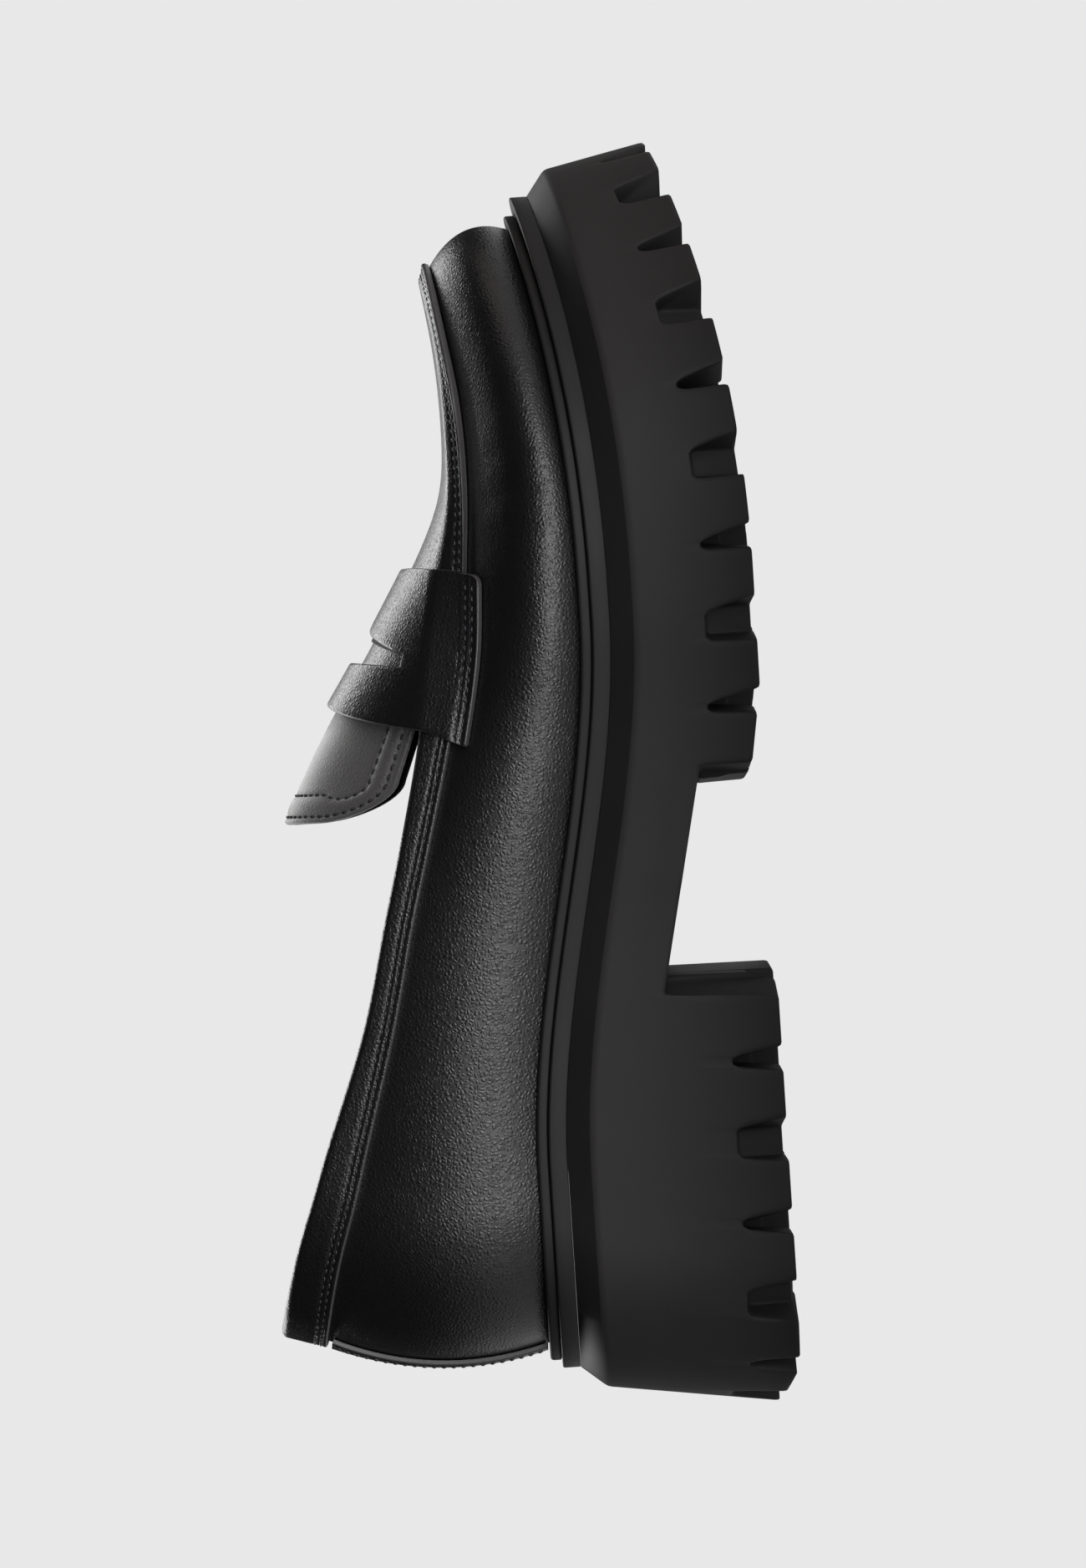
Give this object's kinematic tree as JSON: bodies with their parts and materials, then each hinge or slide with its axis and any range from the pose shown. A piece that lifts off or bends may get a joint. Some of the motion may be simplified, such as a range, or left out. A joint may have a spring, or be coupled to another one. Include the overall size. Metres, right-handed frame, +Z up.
{
  "type": "chunky lug sole penny loafer",
  "caption": "Slip-on leather loafer with a raised apron, slotted saddle strap and free tongue, on a thick notched rubber platform sole with a separate heel block.",
  "frame": {"origin": "on the ground under the middle of the sole: the bottom centre of the bounding box", "axes": "+X from heel to toe, +Y to the inner side of this right shoe, +Z up"},
  "size_m": [0.283, 0.1047, 0.1127],
  "materials": {
    "sole_rubber": "matt black moulded rubber",
    "welt_rubber": "matt black moulded rubber, slightly smoother",
    "lining": "matt black lining",
    "upper_leather": "black finely pebbled leather with a satin finish"
  },
  "bodies": {
    "root": {"lug_sole": "sole_rubber", "welt": "welt_rubber", "insole": "lining", "upper": "upper_leather", "apron": "upper_leather", "topline_band": "upper_leather", "heel_strip": "upper_leather", "saddle_strap": "upper_leather", "tongue": "upper_leather"}
  },
  "joints": []
}
